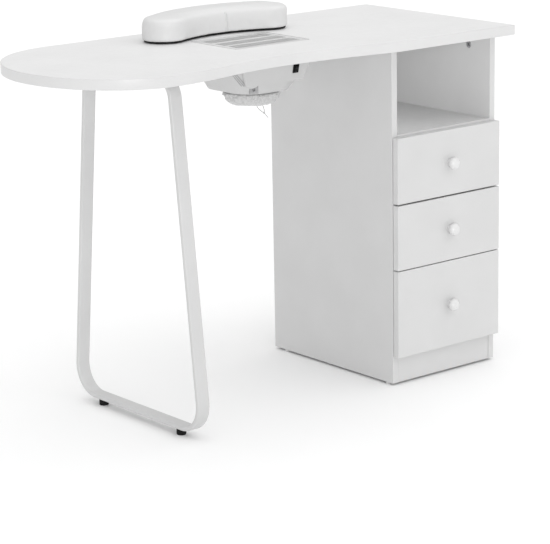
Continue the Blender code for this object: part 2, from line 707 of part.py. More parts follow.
def make_fan():
    """A round axial fan in the neck: frame with three struts, motor, and the impeller on it."""
    centre = Vector((COLLECTOR_X, COLLECTOR_Y, 0))
    rim = [(FAN_RADIUS, FAN_TOP), (FAN_RADIUS, FAN_BOTTOM),
           (FAN_RADIUS - 0.002, FAN_BOTTOM), (FAN_RADIUS - 0.002, FAN_TOP)]
    frame = turned("fan_frame", rim, "black_plastic", centre, steps=40, closed=True)
    plate_z = FAN_BOTTOM + 0.0015
    plate = cylinder_mesh("fan_hub_plate", 0.018, 0.003)
    combine(frame, add_cutter("fan_hub_plate", plate, centre + Vector((0, 0, plate_z))), "UNION")
    for turn in range(3):
        angle = math.radians(30 + 120 * turn)
        middle = centre + Vector((math.cos(angle), math.sin(angle), 0)) * 0.0345
        strut = add_cutter("fan_strut", box_mesh("fan_strut", (0.035, 0.005, 0.003)),
                           middle + Vector((0, 0, plate_z)), (0, 0, angle))
        combine(frame, strut, "UNION")

    low = FAN_BOTTOM + 0.003 + GAP
    motor = [(0, low + 0.0192), (0.0015, low + 0.0192), (0.0015, low + 0.0132),
             (0.0150, low + 0.0132), (0.0165, low + 0.0117), (0.0165, low), (0, low)]
    turned("fan_motor", motor, "grey_plastic", centre, steps=20)

    spin_base = pivot("fan_spin", centre + Vector((0, 0, low + 0.010)))
    inner, roof = HUB_RADIUS - 0.002, low + 0.0197
    cup = [(0.0018, roof), (inner, roof), (HUB_RADIUS, roof - 0.0015), (HUB_RADIUS, low + 0.0017),
           (inner, low + 0.0017), (inner, roof - 0.002), (0.0018, roof - 0.002)]
    impeller = turned("fan_impeller", cup, "black_plastic", centre, steps=24,
                      parent=spin_base, closed=True)
    for blade in range(BLADES):
        angle = 2 * math.pi * blade / BLADES
        turn = Matrix.Rotation(angle, 3, "Z") @ Matrix.Rotation(math.radians(35), 3, "X")
        middle = centre + Vector((math.cos(angle), math.sin(angle), 0)) * 0.0340
        shape = add_cutter("fan_blade", box_mesh("fan_blade", (0.0296, 0.019, 0.0016)),
                           middle + Vector((0, 0, low + 0.0107)), turn.to_euler())
        combine(impeller, shape, "UNION")


def make_switch():
    """A rocker switch pushed into the block's front, its rocker held at one end of its tilt."""
    width, height = SWITCH_BEZEL
    turn = (BLOCK_SLOPE, 0, 0)
    place = on_block(SWITCH_X, GAP, SWITCH_UP)
    body = add_part("switch_body", box_mesh("switch_body", (width, 0.0020, height)),
                    "black_plastic", location=on_block(SWITCH_X, GAP + 0.001, SWITCH_UP),
                    rotation=turn)
    shell_size = (width - 0.0026, SWITCH_DEPTH, height - 0.0026)
    shell_middle = on_block(SWITCH_X, GAP + 0.001 - SWITCH_DEPTH / 2, SWITCH_UP)
    shell = add_cutter("switch_shell", box_mesh("switch_shell", shell_size), shell_middle, turn)
    combine(body, shell, "UNION")
    well = box_mesh("switch_well", (SWITCH_WELL[0], 0.0120, SWITCH_WELL[1]))
    combine(body, add_cutter("switch_well", well, place, turn))

    hinge_at = on_block(SWITCH_X, GAP + 0.0012, SWITCH_UP)
    hinge = pivot("switch_rocker_hinge", hinge_at)
    reach = SWITCH_WELL[1] / 2 - 0.0006
    outline = [Vector(p) for p in (
        (-0.0008, -reach), (-0.0030, -reach + 0.0006), (-0.0018, 0.0),
        (-0.0030, reach - 0.0006), (-0.0008, reach), (0.0020, 0.0),
    )]
    mesh = flat_mesh("switch_rocker", [outline], SWITCH_WELL[0] / 2 - GAP, axes="YZ")
    add_part("switch_rocker", mesh, "black_plastic", hinge, hinge_at,
             (BLOCK_SLOPE + ROCKER_TILT, 0, 0))


def make_inlet():
    """The socket that the low-voltage supply plugs into, on the housing's rounded corner."""
    depth = INLET_SIZE[1]
    inlet = add_part("dc_inlet", box_mesh("dc_inlet", INLET_SIZE), "grey_plastic",
                     location=at_inlet(depth / 2), rotation=(0, 0, INLET_TURN))
    socket = [(0.0034, 0.002), (0.0034, -0.0045), (0.0010, -0.0045), (0.0010, 0.002)]
    cutter = add_cutter("dc_socket", turned_mesh("dc_socket", socket, True), at_inlet(0),
                        (math.pi / 2, 0, INLET_TURN))
    spin(cutter, 16)
    combine(inlet, cutter)


def make_leads():
    """The wires inside the housing: inlet to switch, and switch to fan."""
    inlet_back = INLET_SIZE[1] + GAP
    back = GAP + 0.001 - SWITCH_DEPTH - GAP
    to_switch = [
        *(at_inlet(inlet_back + run, 0.002) for run in (0.0001, 0.003, 0.006)),
        (-0.0040, -0.0460, 0.6760),
        (0.0240, -0.0520, 0.6850), on_block(SWITCH_X - 0.0160, back - 0.0060, -0.006),
        on_block(SWITCH_X - 0.0036, back - 0.0050, -0.005),
        on_block(SWITCH_X - 0.0030, back, -0.005),
    ]
    add_part("inlet_lead", tube_mesh("inlet_lead", to_switch, LEAD_RADIUS), "black_rubber")
    rim = Vector((COLLECTOR_X + 0.0300, COLLECTOR_Y - 0.0420, FAN_TOP + GAP))
    to_fan = [
        on_block(SWITCH_X + 0.003, back, 0.003), on_block(SWITCH_X + 0.003, back - 0.005, 0.002),
        on_block(SWITCH_X - 0.008, back - 0.014, -0.006), rim + Vector((0.004, 0.006, 0.018)),
        rim + Vector((0, 0.001, 0.007)), rim,
    ]
    add_part("fan_lead", tube_mesh("fan_lead", to_fan, LEAD_RADIUS), "black_rubber")


def make_bag():
    """The bag under the fan: mouth round the neck, an elastic ring, and a tied drawstring."""
    base = pivot("dust_bag_slide", (COLLECTOR_X, COLLECTOR_Y, BAG_TOP))
    centre = (COLLECTOR_X, COLLECTOR_Y, 0)
    mouth = BAG_MOUTH_RADIUS
    skin = [(mouth, BAG_TOP), (mouth, 0.6420), (mouth + 0.0012, 0.6370),
            (mouth + 0.0006, 0.6300), (0.0545, 0.6240), (0.0490, BAG_BOTTOM + 0.0018),
            (0.0420, BAG_BOTTOM), (0, BAG_BOTTOM)]
    bag = turned("dust_bag", skin, "white_fabric", centre, steps=32, parent=base)
    wall = bag.modifiers.new("cloth", "SOLIDIFY")
    wall.thickness, wall.offset, wall.use_even_offset = BAG_WALL, -1, True

    ring_radius, thick = mouth + GAP + 0.0013, 0.0013
    ring = [(ring_radius + thick * math.cos(a), 0.6455 + thick * math.sin(a))
            for a in (-2 * math.pi * i / 8 for i in range(8))]
    turned("bag_elastic", ring, "white_thread", centre, steps=32, parent=base, closed=True)

    knot = (0.0225, -0.0300, 0.6010)
    start = BAG_BOTTOM - GAP
    long_end = [(0.0040, -0.0290, start), (0.0070, -0.0295, 0.6130), (0.0150, -0.0300, 0.6060),
                knot, (0.0280, -0.0300, 0.5955), (0.0330, -0.0300, 0.5900)]
    short_end = [(0.0190, -0.0290, start), (0.0215, -0.0296, 0.6130), (0.0232, -0.0300, 0.6060),
                 knot]
    string = add_part("bag_drawstring", tube_mesh("bag_drawstring", long_end, STRING_RADIUS),
                      "white_thread", base)
    other = add_cutter("drawstring_end", tube_mesh("drawstring_end", short_end, STRING_RADIUS))
    combine(string, other, "UNION")
    bm = bmesh.new()
    bmesh.ops.create_uvsphere(bm, u_segments=10, v_segments=6, radius=0.0016)
    combine(string, add_cutter("drawstring_knot", mesh_from(bm, "drawstring_knot"), knot), "UNION")


# The hand rest

def make_hand_rest():
    base = pivot("hand_rest_lift", (REST_CENTRE_X, 0.1525, TABLE_HEIGHT))
    outline = hand_rest_outline()
    half = (REST_TOP - REST_BOTTOM) / 2
    pad = add_part("hand_rest_pad", flat_mesh("hand_rest_pad", [outline], half),
                   "white_leatherette", base, (0, 0, REST_BOTTOM + half))
    ease(pad, 0.009, 3)
    low, high = TABLE_HEIGHT + 0.0017, REST_BOTTOM - GAP
    plate = flat_mesh("hand_rest_base", [inset_loop(outline, REST_BASE_INSET)], (high - low) / 2)
    board_part = add_part("hand_rest_base", plate, "black_plastic", base,
                          (0, 0, (low + high) / 2))
    foot_low, foot_high = TABLE_HEIGHT + GAP, low + 0.0008
    for reach, y in ((0.1570, 0.1010), (0.0750, 0.1720)):
        for side in (-1, 1):
            foot = cylinder_mesh("rest_foot", REST_FOOT_RADIUS, foot_high - foot_low, 12)
            middle = (REST_CENTRE_X + side * reach, y, (foot_low + foot_high) / 2)
            combine(board_part, add_cutter("rest_foot", foot, middle), "UNION")


def main():
    clear_scene()
    make_tabletop()
    make_cabinet()
    make_leg()
    for drawer in DRAWERS:
        make_drawer(*drawer)
    make_grille()
    make_housing()
    make_fan()
    make_switch()
    make_inlet()
    make_leads()
    make_bag()
    make_hand_rest()


main()
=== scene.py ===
"""Manicure table, the visual model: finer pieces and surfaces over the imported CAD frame."""

import json
import math

import bmesh
import bpy
from mathutils import Matrix, Vector, noise
from mathutils.bvhtree import BVHTree


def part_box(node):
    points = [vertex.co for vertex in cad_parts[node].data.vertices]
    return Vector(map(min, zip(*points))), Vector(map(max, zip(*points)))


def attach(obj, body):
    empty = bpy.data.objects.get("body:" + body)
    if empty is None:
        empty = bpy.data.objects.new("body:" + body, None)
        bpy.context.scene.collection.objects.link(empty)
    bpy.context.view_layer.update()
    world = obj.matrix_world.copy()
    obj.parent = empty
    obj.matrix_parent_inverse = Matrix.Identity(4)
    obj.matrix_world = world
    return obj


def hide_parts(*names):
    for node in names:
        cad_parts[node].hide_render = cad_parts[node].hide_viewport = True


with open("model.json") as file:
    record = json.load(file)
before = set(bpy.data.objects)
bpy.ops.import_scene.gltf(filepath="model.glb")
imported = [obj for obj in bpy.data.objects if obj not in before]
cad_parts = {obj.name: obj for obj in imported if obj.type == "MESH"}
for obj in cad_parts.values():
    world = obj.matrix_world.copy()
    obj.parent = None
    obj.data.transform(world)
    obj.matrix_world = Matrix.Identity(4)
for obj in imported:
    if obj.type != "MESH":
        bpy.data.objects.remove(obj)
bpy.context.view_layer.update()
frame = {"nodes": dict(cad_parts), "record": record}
SCENE = bpy.context.scene


def packed_box(node):
    """A CAD node's lowest and highest corners, to a tenth of a millimetre."""
    return [[round(value, 4) for value in corner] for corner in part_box(node)]


def middle(box):
    return [round((low + high) / 2, 4) for low, high in zip(*box)]


# The camera
CAMERA_PLACE = (-2.9524, -3.7043, 1.4628)
CAMERA_AZIMUTH, CAMERA_ELEVATION = math.radians(-39.197), math.radians(14.275)
CAMERA_ROLL = math.radians(-1.043)
CAMERA_LENS = 151.14

# The top, as large as its packed edge band
TOP_BOX = packed_box("tabletop_edge_band")
TABLE_HALF_X, TABLE_HALF_Y, TOP_HIGH = TOP_BOX[1]
TOP_LOW = TOP_BOX[0][2]
BAND_DEPTH, BAND_ARRIS = 0.0012, 0.0008
FRONT_Y, WAIST, STRAIGHT_START_X = -0.2345, (-0.062, -0.2025), 0.222
LOBE_Y, LOBE_FRONT_X, LOBE_BACK_X = -0.0035, -0.360, -0.3245

# The leg
LEG_BOX = packed_box("leg_frame")
LEG_X, LEG_CENTRE_Y, _ = middle(LEG_BOX)
LEG_LOW, LEG_HIGH = LEG_BOX[0][2], LEG_BOX[1][2]
LEG_WIDTH, LEG_THICKNESS, LEG_EDGE_RADIUS = 0.030, 0.010, 0.0038
LEG_HALF_LOW, LEG_HALF_HIGH = 0.2195, 0.1455
LEG_BEND_LOW, LEG_BEND_HIGH = 0.062, 0.046

# The hand rest, a band bent round a centre in front of it
REST_BOX = packed_box("hand_rest_pad")
REST_LOW, REST_HIGH = REST_BOX[0][2], REST_BOX[1][2]
REST_RADIUS, REST_HALF_WIDTH = 0.301, 0.049
REST_HALF_ANGLE = math.radians(26.7)
REST_CENTRE_X = middle(REST_BOX)[0]
REST_ARC_CENTRE_Y = round(REST_BOX[1][1] - REST_RADIUS - REST_HALF_WIDTH, 4)
PAD_INSET = 0.0022  # how much narrower the cover starts, before it is filled
PAD_VOXEL, PAD_PRESSURE, PAD_FRAMES = 0.0045, 4.0, 20
PAD_CAP = 0.005  # how far the filling may push the cover out
PAD_SAG, PAD_RIM = 0.0013, 0.0055  # how far, and over what width, the rim hangs below the base
PAD_RIM_HEIGHT = 0.010

# The cushion's closing seams: their place, and a section of two lips as (across, height)
SEAM_OFFSET = 0.017  # from the hand rest's middle
SEAM_RISE, SEAM_STEP, SEAM_POINTS = 0.003, 0.0018, 23
SEAM_LIP = [
    (-0.0034, 0.0000), (-0.0024, 0.0007), (-0.0015, 0.0012), (-0.0009, 0.0008),
    (-0.0006, -0.0016), (0.0006, -0.0016), (0.0009, 0.0008), (0.0015, 0.0012),
    (0.0024, 0.0007), (0.0034, 0.0000), (0.0034, -0.0024), (-0.0034, -0.0024),
]

# The raised strips at the collector's corner: the middle one's ends, from the housing's low corner
STRIP_TOP = Vector((-0.0122, 0.0022, 0.0680))
STRIP_FOOT = Vector((0.0180, 0.0022, 0.0355))
STRIP_PITCH, STRIP_HALF_WIDTH, STRIP_RISE, STRIP_STEPS = 0.0062, 0.0015, 0.0003, 12
STRIP_WAY = Vector((0.63, 0.775, 0.0))  # level, from outside into the corner
STRIP_REACH = 0.08  # how far outside the wall the rays that find it start

# The dust bag, its elastic and its drawstring
BAG_BOX = packed_box("dust_bag")
BAG_CENTRE, BAG_LOW = middle(BAG_BOX)[:2], BAG_BOX[0][2]
BAG_MOUTH, BAG_FLAT = 0.0568, 0.6202  # the mouth's radius, and the height of the flat bottom
BAG_CLOTH, BAG_PLEATS, BAG_STEPS = 0.0005, 34, 200
ELASTIC_RADIUS, ELASTIC_HALF_THICKNESS = 0.0590, 0.0011
ELASTIC_HEIGHT = middle(packed_box("bag_elastic"))[2]
ELASTIC_STEPS, ELASTIC_SIDES = 180, 8
STRING_DIAMETER = 0.0012
KNOT = (0.0225, -0.0300, 0.6010)
STRAND = [(0.0040, -0.0290, BAG_LOW - 0.0003), (0.0070, -0.0295, 0.6130),
          (0.0150, -0.0300, 0.6060), KNOT, (0.0280, -0.0300, 0.5955), (0.0330, -0.0300, 0.5900)]
OTHER_STRAND = [(0.0190, -0.0290, BAG_LOW - 0.0003), (0.0215, -0.0296, 0.6130),
                (0.0232, -0.0300, 0.6060), KNOT]
KNOT_TURNS, KNOT_STEPS, KNOT_RADIUS, KNOT_LENGTH = 2.5, 40, 0.0009, 0.0022

# The light: an even world, and soft suns as (name, direction, share of a white surface, degrees)
WORLD_LIGHT = 0.72
SUNS = (
    ("overhead", (-0.15, 0.20, -1.0), 0.40, 100),
    ("front_fill", (0.50, 0.85, -0.06), 0.36, 25),
)

# A soft fill for the open compartment, on the inner face of its left wall: middle, size and watts
FILL_PLACE, FILL_SIZE, FILL_POWER = (0.2515, 0.0, 0.640), (0.36, 0.16), 0.20
FLOOR_SIZE = 30

# A knob and its screw, turned: radius and distance from the drawer front's face
KNOB_TIP_RADIUS, KNOB_STEPS, KNOB_HEAD_POINTS = 0.0002, 56, 10
KNOB_PROFILE = [
    (0, 0.0240), (0.0050, 0.0234), (0.0092, 0.0216), (0.0122, 0.0186), (0.0135, 0.0148),
    (0.0127, 0.0114), (0.0098, 0.0090), (0.0072, 0.0064), (0.0066, 0.0034), (0.0078, 0.0010),
    (0.0078, 0.0003), (0.0024, 0.0003), (0.0024, -0.0163), (0.0045, -0.0163),
    (0.0045, -0.0182), (0, -0.0188),
]


def make_camera():
    a, e = CAMERA_AZIMUTH, CAMERA_ELEVATION
    back = Vector((math.sin(a) * math.cos(e), -math.cos(a) * math.cos(e), math.sin(e)))
    right = Vector((math.cos(a), math.sin(a), 0))
    up = back.cross(right)
    turned_right = right * math.cos(CAMERA_ROLL) + up * math.sin(CAMERA_ROLL)
    turned_up = -right * math.sin(CAMERA_ROLL) + up * math.cos(CAMERA_ROLL)
    data = bpy.data.cameras.new("camera")
    data.lens, data.sensor_width = CAMERA_LENS, 36
    data.clip_start, data.clip_end = 0.1, 100
    camera = bpy.data.objects.new("camera", data)
    turn = Matrix((turned_right, turned_up, back)).transposed().to_4x4()
    camera.matrix_world = Matrix.Translation(CAMERA_PLACE) @ turn
    SCENE.collection.objects.link(camera)
    SCENE.camera = camera


# Materials

def new_material(name):
    made = bpy.data.materials.new(name)
    made.use_nodes = True
    return made, made.node_tree.nodes, made.node_tree.links


def noise_node(nodes, links, coords, scale, detail=2.0):
    texture = nodes.new("ShaderNodeTexNoise")
    texture.inputs["Scale"].default_value = scale
    texture.inputs["Detail"].default_value = detail
    links.new(coords, texture.inputs["Vector"])
    return texture.outputs["Fac"]


def remap(nodes, links, value, low, high):
    mapped = nodes.new("ShaderNodeMapRange")
    mapped.inputs["From Min"].default_value = 0.3
    mapped.inputs["From Max"].default_value = 0.7
    mapped.inputs["To Min"].default_value = low
    mapped.inputs["To Max"].default_value = high
    links.new(value, mapped.inputs["Value"])
    return mapped.outputs["Result"]


def surface(name, colour, roughness, grain, depth, metallic=0.0, variation=0.02, stretch=(1, 1, 1),
            cells=False, sheen=0.0, coat=0.0, strength=0.5, specular=0.5):
    """A surface with slow changes of shade, a fine grain in relief, and uneven gloss.

    grain is in cycles per metre, depth is the relief in metres, and stretch draws the grain out.
    """
    made, nodes, links = new_material(name)
    shader = nodes["Principled BSDF"]
    shader.inputs["Metallic"].default_value = metallic
    shader.inputs["Specular IOR Level"].default_value = specular
    if sheen:
        shader.inputs["Sheen Weight"].default_value = sheen
    if coat:
        shader.inputs["Coat Weight"].default_value = coat
        shader.inputs["Coat Roughness"].default_value = 0.2
    place = nodes.new("ShaderNodeTexCoord").outputs["Object"]
    mapping = nodes.new("ShaderNodeMapping")
    mapping.inputs["Scale"].default_value = stretch
    links.new(place, mapping.inputs["Vector"])
    place = mapping.outputs["Vector"]

    shade = remap(nodes, links, noise_node(nodes, links, place, 9.0, 3.0), 0.0, 1.0)
    mix = nodes.new("ShaderNodeMix")
    mix.data_type = "RGBA"
    mix.inputs["A"].default_value = (*(c * (1 - variation) for c in colour), 1)
    mix.inputs["B"].default_value = (*(min(1, c * (1 + variation)) for c in colour), 1)
    links.new(shade, mix.inputs["Factor"])
    links.new(mix.outputs["Result"], shader.inputs["Base Color"])

    patches = noise_node(nodes, links, place, 60.0, 2.0)
    rough = remap(nodes, links, patches, roughness - 0.05, roughness + 0.05)
    links.new(rough, shader.inputs["Roughness"])

    if cells:
        texture = nodes.new("ShaderNodeTexVoronoi")
        texture.feature = "DISTANCE_TO_EDGE"
        texture.inputs["Scale"].default_value = grain
        links.new(place, texture.inputs["Vector"])
        height = texture.outputs["Distance"]
    else:
        height = noise_node(nodes, links, place, grain, 2.0)
    bump = nodes.new("ShaderNodeBump")
    bump.inputs["Strength"].default_value = strength
    bump.inputs["Distance"].default_value = depth
    links.new(height, bump.inputs["Height"])
    links.new(bump.outputs["Normal"], shader.inputs["Normal"])
    return made


LOOKS = {
    "white_board": surface("white_board", (0.59, 0.59, 0.59), 0.42, 420, 0.00012, coat=0.06),
    "edge_strip": surface("edge_strip", (0.64, 0.64, 0.64), 0.38, 700, 0.00006, coat=0.08),
    "box_board": surface("box_board", (0.76, 0.76, 0.75), 0.55, 300, 0.0001,
                         stretch=(1, 0.06, 1)),
    "white_powder_coat": surface("white_powder_coat", (0.57, 0.57, 0.57), 0.36, 900, 0.00012,
                                 coat=0.1),
    "white_plastic": surface("white_plastic", (0.53, 0.53, 0.53), 0.4, 1500, 0.00005),
    "grey_plastic": surface("grey_plastic", (0.33, 0.33, 0.335), 0.5, 1500, 0.00006),
    "black_plastic": surface("black_plastic", (0.006, 0.006, 0.006), 0.45, 1500, 0.00005,
                             variation=0.15, specular=0.15),
    "black_rubber": surface("black_rubber", (0.008, 0.008, 0.008), 0.7, 1100, 0.0001,
                            variation=0.2, specular=0.2),
    "zinc": surface("zinc", (0.36, 0.36, 0.37), 0.45, 500, 0.00006, metallic=1.0,
                    variation=0.08, stretch=(1, 0.15, 1)),
    "brushed_metal": surface("brushed_metal", (0.86, 0.86, 0.86), 0.38, 900, 0.00005,
                             metallic=1.0, stretch=(0.03, 1, 1)),
    "white_leatherette": surface("white_leatherette", (0.66, 0.66, 0.66), 0.46, 900, 0.00022,
                                 cells=True, coat=0.05, strength=0.6),
    "white_fabric": surface("white_fabric", (0.54, 0.54, 0.54), 0.85, 1300, 0.0003,
                            sheen=0.25, strength=0.8, variation=0.05),
    "white_thread": surface("white_thread", (0.30, 0.30, 0.30), 0.8, 2200, 0.0003,
                            sheen=0.2, strength=0.9, stretch=(1, 1, 0.4)),
    # A lighter copy of the board finish for the tabletop: painted light on the top, which is the
    # same board
    "painted_light_worktop": surface("painted_light_worktop", (0.75, 0.75, 0.75), 0.40, 420, 0.0001, coat=0.08),
    "glossy_knob": surface("glossy_knob", (0.66, 0.66, 0.66), 0.30, 1500, 0.00004, coat=0.3),
}


def dress_frame():
    """Gives each CAD node its material slot's finish, and the tabletop a lighter copy of the board
    finish that paints light on its top.
    """
    for entry in frame["record"]["subparts"]:
        node = frame["nodes"][entry["node"]]
        node.data.materials.clear()
        node.data.materials.append(LOOKS[entry["material_slot"]])
    # The tabletop gets the lighter copy of the board finish: painted light on its upper face
    frame["nodes"]["tabletop"].data.materials[0] = LOOKS["painted_light_worktop"]


# Building blocks

def add_piece(name, mesh, look, body, replaces=()):
    obj = bpy.data.objects.new(name, mesh)
    mesh.materials.clear()
    mesh.materials.append(LOOKS[look])
    SCENE.collection.objects.link(obj)
    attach(obj, body)
    if replaces:
        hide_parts(*replaces)
    return obj


def mesh_from(bm, name, angle=40):
    bmesh.ops.recalc_face_normals(bm, faces=bm.faces)
    mesh = bpy.data.meshes.new(name)
    bm.to_mesh(mesh)
    bm.free()
    mesh.shade_smooth()
    mesh.set_sharp_from_angle(angle=math.radians(angle))
    return mesh


def skin_rings(bm, rings, cap_start=False, cap_end=False):
    """Faces through closed rings of equal length."""
    rows = [[bm.verts.new(point) for point in ring] for ring in rings]
    for upper, lower in zip(rows, rows[1:]):
        for i in range(len(upper)):
            j = (i + 1) % len(upper)
            bm.faces.new((upper[i], lower[i], lower[j], upper[j]))
    if cap_start:
        bm.faces.new(rows[0])
    if cap_end:
        bm.faces.new(rows[-1])
    return rows


def turned_rings(profile, steps):
    return [
        [(r * math.cos(2 * math.pi * i / steps), r * math.sin(2 * math.pi * i / steps), z)
         for i in range(steps)]
        for r, z in profile
    ]


def smooth_points(points, per_span):
    """Points on a Catmull-Rom curve through the given ones."""
    points = [Vector(p) for p in points]
    padded = [2 * points[0] - points[1], *points, 2 * points[-1] - points[-2]]
    made = []
    for a, b, c, d in zip(padded, padded[1:], padded[2:], padded[3:]):
        for step in range(per_span):
            t = step / per_span
            made.append(0.5 * (
                2 * b + (c - a) * t + (2 * a - 5 * b + 4 * c - d) * t**2
                + (3 * b - a - 3 * c + d) * t**3
            ))
    return [*made, points[-1]]


def tube(name, points, radius, look, body, resolution=4):
    data = bpy.data.curves.new(name, "CURVE")
    data.dimensions, data.bevel_depth, data.bevel_resolution = "3D", radius, resolution
    data.use_fill_caps = True
    spline = data.splines.new("POLY")
    spline.points.add(len(points) - 1)
    for point, place in zip(spline.points, points):
        point.co = (*place, 1.0)
    data.materials.append(LOOKS[look])
    obj = bpy.data.objects.new(name, data)
    SCENE.collection.objects.link(obj)
    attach(obj, body)
    return obj


def bezier(a, b, c, d, count):
    a, b, c, d = (Vector(p) for p in (a, b, c, d))
    return [
        (1 - t) ** 3 * a + 3 * (1 - t) ** 2 * t * b + 3 * (1 - t) * t**2 * c + t**3 * d
        for t in (i / count for i in range(count))
    ]


def ellipse_arc(centre, radii, start, end, count):
    return [
        Vector((centre[0] + radii[0] * math.cos(a), centre[1] + radii[1] * math.sin(a)))
        for a in (math.radians(start + (end - start) * i / count) for i in range(count))
    ]


def inset_loop(points, distance):
    count = len(points)
    moved = []
    for i in range(count):
        before = (points[i] - points[i - 1]).normalized()
        after = (points[(i + 1) % count] - points[i]).normalized()
        mitre = (Vector((-before.y, before.x)) + Vector((-after.y, after.x))).normalized()
        reach = distance / max(0.3, mitre.dot(Vector((-after.y, after.x))))
        moved.append(points[i] + mitre * reach)
    return moved


def rounded_outline(corners, radii, steps):
    points = []
    for i, (corner, radius) in enumerate(zip(corners, radii)):
        corner = Vector(corner)
        back = (Vector(corners[i - 1]) - corner).normalized()
        ahead = (Vector(corners[(i + 1) % len(corners)]) - corner).normalized()
        half = back.angle(ahead) / 2
        centre = corner + (back + ahead).normalized() * radius / math.sin(half)
        start = corner + back * radius / math.tan(half) - centre
        for step in range(steps + 1):
            points.append(centre + Matrix.Rotation((math.pi - 2 * half) * step / steps, 2) @ start)
    return points


# The drawstring: two strands tied in a knot, one of them running on as the tail

def make_drawstring():
    path = smooth_points(STRAND, 4)
    main = tube("drawstring", path, STRING_DIAMETER / 2, "white_thread", "bag")
    other = tube("drawstring_other_strand", smooth_points(OTHER_STRAND, 4),
                 STRING_DIAMETER / 2, "white_thread", "bag")
    coil = []
    for step in range(KNOT_STEPS + 1):
        share = step / KNOT_STEPS
        a = 2 * math.pi * KNOT_TURNS * share
        offset = (KNOT_RADIUS * math.cos(a), KNOT_RADIUS * math.sin(a), (share - 0.5) * KNOT_LENGTH)
        coil.append(Vector(KNOT) + Vector(offset))
    knot = tube("drawstring_knot", coil, STRING_DIAMETER / 2, "white_thread", "bag", 3)
    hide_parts("bag_drawstring")


# The top's edge band, the leg and the knobs

def tabletop_outline(fine=40):
    back_radii = (TABLE_HALF_X + LOBE_BACK_X, TABLE_HALF_Y - LOBE_Y)
    front_radii = (TABLE_HALF_X + LOBE_FRONT_X, TABLE_HALF_Y + LOBE_Y)
    waist_x, waist_y = WAIST
    return [
        Vector((TABLE_HALF_X, FRONT_Y)), Vector((TABLE_HALF_X, TABLE_HALF_Y)),
        *ellipse_arc((LOBE_BACK_X, LOBE_Y), back_radii, 90, 180, fine),
        *ellipse_arc((LOBE_FRONT_X, LOBE_Y), front_radii, 180, 270, fine),
        *bezier((LOBE_FRONT_X, -TABLE_HALF_Y), (LOBE_FRONT_X + 0.11, -TABLE_HALF_Y),
                (waist_x - 0.13, waist_y), WAIST, fine),
        *bezier(WAIST, (waist_x + 0.15, waist_y), (STRAIGHT_START_X - 0.035, FRONT_Y),
                (STRAIGHT_START_X, FRONT_Y), fine),
        Vector((STRAIGHT_START_X, FRONT_Y)),
    ]


def make_edge_band():
    """A thin strip round the top with its two arrises rounded over."""
    outline = tabletop_outline()
    arris = BAND_ARRIS
    section = [(BAND_DEPTH, TOP_LOW), (arris, TOP_LOW)]
    section += [(arris - arris * math.sin(a), TOP_LOW + arris - arris * math.cos(a))
                for a in (math.pi / 8, math.pi / 4, 3 * math.pi / 8, math.pi / 2)]
    section += [(arris - arris * math.cos(a), TOP_HIGH - arris + arris * math.sin(a))
                for a in (0.001, math.pi / 8, math.pi / 4, 3 * math.pi / 8, math.pi / 2)]
    section += [(BAND_DEPTH, TOP_HIGH)]
    rings = [[(p.x, p.y, z) for p in inset_loop(outline, inset)]
             for inset, z in [*section, section[0]]]
    bm = bmesh.new()
    skin_rings(bm, rings)
    bmesh.ops.remove_doubles(bm, verts=bm.verts, dist=1e-6)
    add_piece("edge_band", mesh_from(bm, "edge_band", 50), "edge_strip", "table",
              ["tabletop_edge_band"])


def make_leg():
    """The flat tube swept round its loop, with round edges."""
    y = LEG_CENTRE_Y
    corners = [(y - LEG_HALF_LOW, LEG_LOW), (y + LEG_HALF_LOW, LEG_LOW),
               (y + LEG_HALF_HIGH, LEG_HIGH), (y - LEG_HALF_HIGH, LEG_HIGH)]
    radii = [LEG_BEND_LOW, LEG_BEND_LOW, LEG_BEND_HIGH, LEG_BEND_HIGH]
    outer = rounded_outline(corners, radii, 24)
    half, r, t = LEG_WIDTH / 2, LEG_EDGE_RADIUS, LEG_THICKNESS
    section = []
    for centre_x, centre_in, first in ((-half + r, r, 180), (half - r, r, 270),
                                       (half - r, t - r, 0), (-half + r, t - r, 90)):
        for step in range(7):
            a = math.radians(first + 15 * step)
            section.append((centre_x + r * math.cos(a), centre_in + r * math.sin(a)))
    loops = [(x, inset_loop(outer, inwards)) for x, inwards in section]
    rings = [[(LEG_X + x, p.x, p.y) for p in loop] for x, loop in loops]
    bm = bmesh.new()
    skin_rings(bm, [*rings, rings[0]])
    bmesh.ops.remove_doubles(bm, verts=bm.verts, dist=1e-6)
    add_piece("leg", mesh_from(bm, "leg", 60), "white_powder_coat", "table", ["leg_frame"])


def make_knobs():
    """A turned head with a smooth outline, and its screw, on each drawer's front."""
    head = smooth_points([(r, z, 0) for r, z in KNOB_PROFILE[:KNOB_HEAD_POINTS]], 3)
    profile = [(p.x, p.y) for p in head] + KNOB_PROFILE[KNOB_HEAD_POINTS:]
    profile = [(max(r, KNOB_TIP_RADIUS), z) for r, z in profile]
    for drawer in ("top", "middle", "bottom"):
        low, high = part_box(f"drawer_{drawer}_front")
        bm = bmesh.new()
        skin_rings(bm, turned_rings(profile, KNOB_STEPS), cap_start=True, cap_end=True)
        place = Vector(((low.x + high.x) / 2, low.y, (low.z + high.z) / 2))
        turn = Matrix.Translation(place) @ Matrix.Rotation(math.pi / 2, 4, "X")
        bmesh.ops.transform(bm, matrix=turn, verts=bm.verts)
        knob = add_piece(f"knob_{drawer}", mesh_from(bm, "knob", 50), "white_plastic",
                         f"drawer_{drawer}", [f"drawer_{drawer}_knob"])
        knob.data.materials[0] = LOOKS["glossy_knob"]


# The hand rest's cushion

